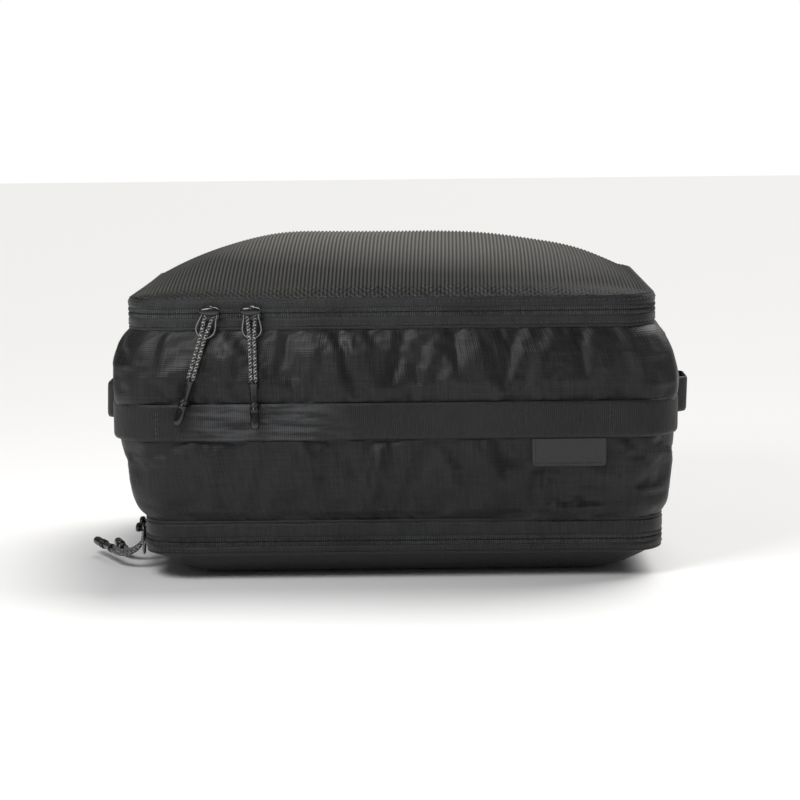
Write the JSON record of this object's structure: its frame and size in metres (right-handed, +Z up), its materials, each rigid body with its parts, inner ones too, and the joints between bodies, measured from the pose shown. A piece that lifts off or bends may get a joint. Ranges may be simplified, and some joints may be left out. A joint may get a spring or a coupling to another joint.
{
  "type": "packing cube",
  "caption": "Soft box-shaped packing cube with a domed mesh lid, a zipped base compartment, a front webbing strap, side handles and corded zip pulls.",
  "frame": {"origin": "centre of the base panel's flat, on the floor", "axes": "+X along the width to the right seen from the front, -Y towards the front with the strap, +Z up"},
  "size_m": [0.4239, 0.2758, 0.228],
  "materials": {
    "ripstop": "matt charcoal-black ripstop weave",
    "lid_mesh": "ribbed warm-grey mesh",
    "zip_tape": "woven black tape",
    "zip_coil": "satin black coil",
    "webbing": "ribbed webbing with a light sheen",
    "lining": "plain lining fabric",
    "rubber": "matt soft rubber, blank",
    "gloss_black": "glossy black",
    "gunmetal_wire": "dark polished wire",
    "fleck_cord": "black braided cord with white flecks"
  },
  "bodies": {
    "base": {"base_panel": "ripstop", "base_zip_tape": "zip_tape", "base_zip_coil": "zip_coil", "base_hinge_strip": "lining"},
    "case": {"front_wall": "ripstop", "right_wall": "ripstop", "back_wall": "ripstop", "left_wall": "ripstop", "divider": "lining", "case_lower_zip_tape": "zip_tape", "case_lower_zip_coil": "zip_coil", "case_upper_zip_tape": "zip_tape", "case_upper_zip_coil": "zip_coil", "case_lower_binding": "lining", "case_upper_binding": "lining", "lid_hinge_strip": "lining", "front_strap": "webbing", "left_handle": "webbing", "right_handle": "webbing", "rubber_label": "rubber"},
    "lid": {"mesh_lid_panel": "lid_mesh", "lid_zip_tape": "zip_tape", "lid_zip_coil": "zip_coil", "lid_binding": "lining"},
    "top_left_slider_body": {"top_left_slider": "gloss_black"},
    "top_left_pull": {"top_left_wire_loop": "gunmetal_wire", "top_left_cord": "fleck_cord", "top_left_cord_end": "gloss_black"},
    "top_right_slider_body": {"top_right_slider": "gloss_black"},
    "top_right_pull": {"top_right_wire_loop": "gunmetal_wire", "top_right_cord": "fleck_cord", "top_right_cord_end": "gloss_black"},
    "base_front_slider_body": {"base_front_slider": "gloss_black"},
    "base_front_pull": {"base_front_wire_loop": "gunmetal_wire", "base_front_cord": "fleck_cord", "base_front_cord_end": "gloss_black"},
    "base_rear_slider_body": {"base_rear_slider": "gloss_black"},
    "base_rear_pull": {"base_rear_wire_loop": "gunmetal_wire", "base_rear_cord": "fleck_cord", "base_rear_cord_end": "gloss_black"}
  },
  "joints": [
    {"name": "case_opens_from_base", "type": "hinge", "parent": "base", "child": "case", "pos_m": [0, 0.1265, 0.0275], "axis": [-1, 0, 0], "range_deg": [0, 60]},
    {"name": "lid_opens", "type": "hinge", "parent": "case", "child": "lid", "pos_m": [0, 0.1265, 0.182], "axis": [-1, 0, 0], "range_deg": [0, 120]},
    {"name": "top_left_slides", "type": "slide", "parent": "case", "child": "top_left_slider_body", "axis": [-1, 0, 0], "range_m": [0, 0.024]},
    {"name": "top_left_swivels", "type": "hinge", "parent": "top_left_slider_body", "child": "top_left_pull", "pos_m": [-0.1273, -0.1293, 0.182], "axis": [0, 1, 0], "range_deg": [-22, 68]},
    {"name": "top_right_slides", "type": "slide", "parent": "case", "child": "top_right_slider_body", "axis": [1, 0, 0], "range_m": [0, 0.236]},
    {"name": "top_right_swivels", "type": "hinge", "parent": "top_right_slider_body", "child": "top_right_pull", "pos_m": [-0.0998, -0.1293, 0.182], "axis": [0, 1, 0], "range_deg": [-83, 5]},
    {"name": "base_front_slides", "type": "slide", "parent": "base", "child": "base_front_slider_body", "axis": [0, -1, 0], "range_m": [0, 0.01]},
    {"name": "base_front_swivels", "type": "hinge", "parent": "base_front_slider_body", "child": "base_front_pull", "pos_m": [-0.1798, -0.082, 0.0275], "axis": [1, 0, 0], "range_deg": [0, 45]},
    {"name": "base_rear_slides", "type": "slide", "parent": "base", "child": "base_rear_slider_body", "axis": [0, 1, 0], "range_m": [0, 0.15]},
    {"name": "base_rear_swivels", "type": "hinge", "parent": "base_rear_slider_body", "child": "base_rear_pull", "pos_m": [-0.1798, -0.058, 0.0275], "axis": [1, 0, 0], "range_deg": [0, 90]}
  ]
}
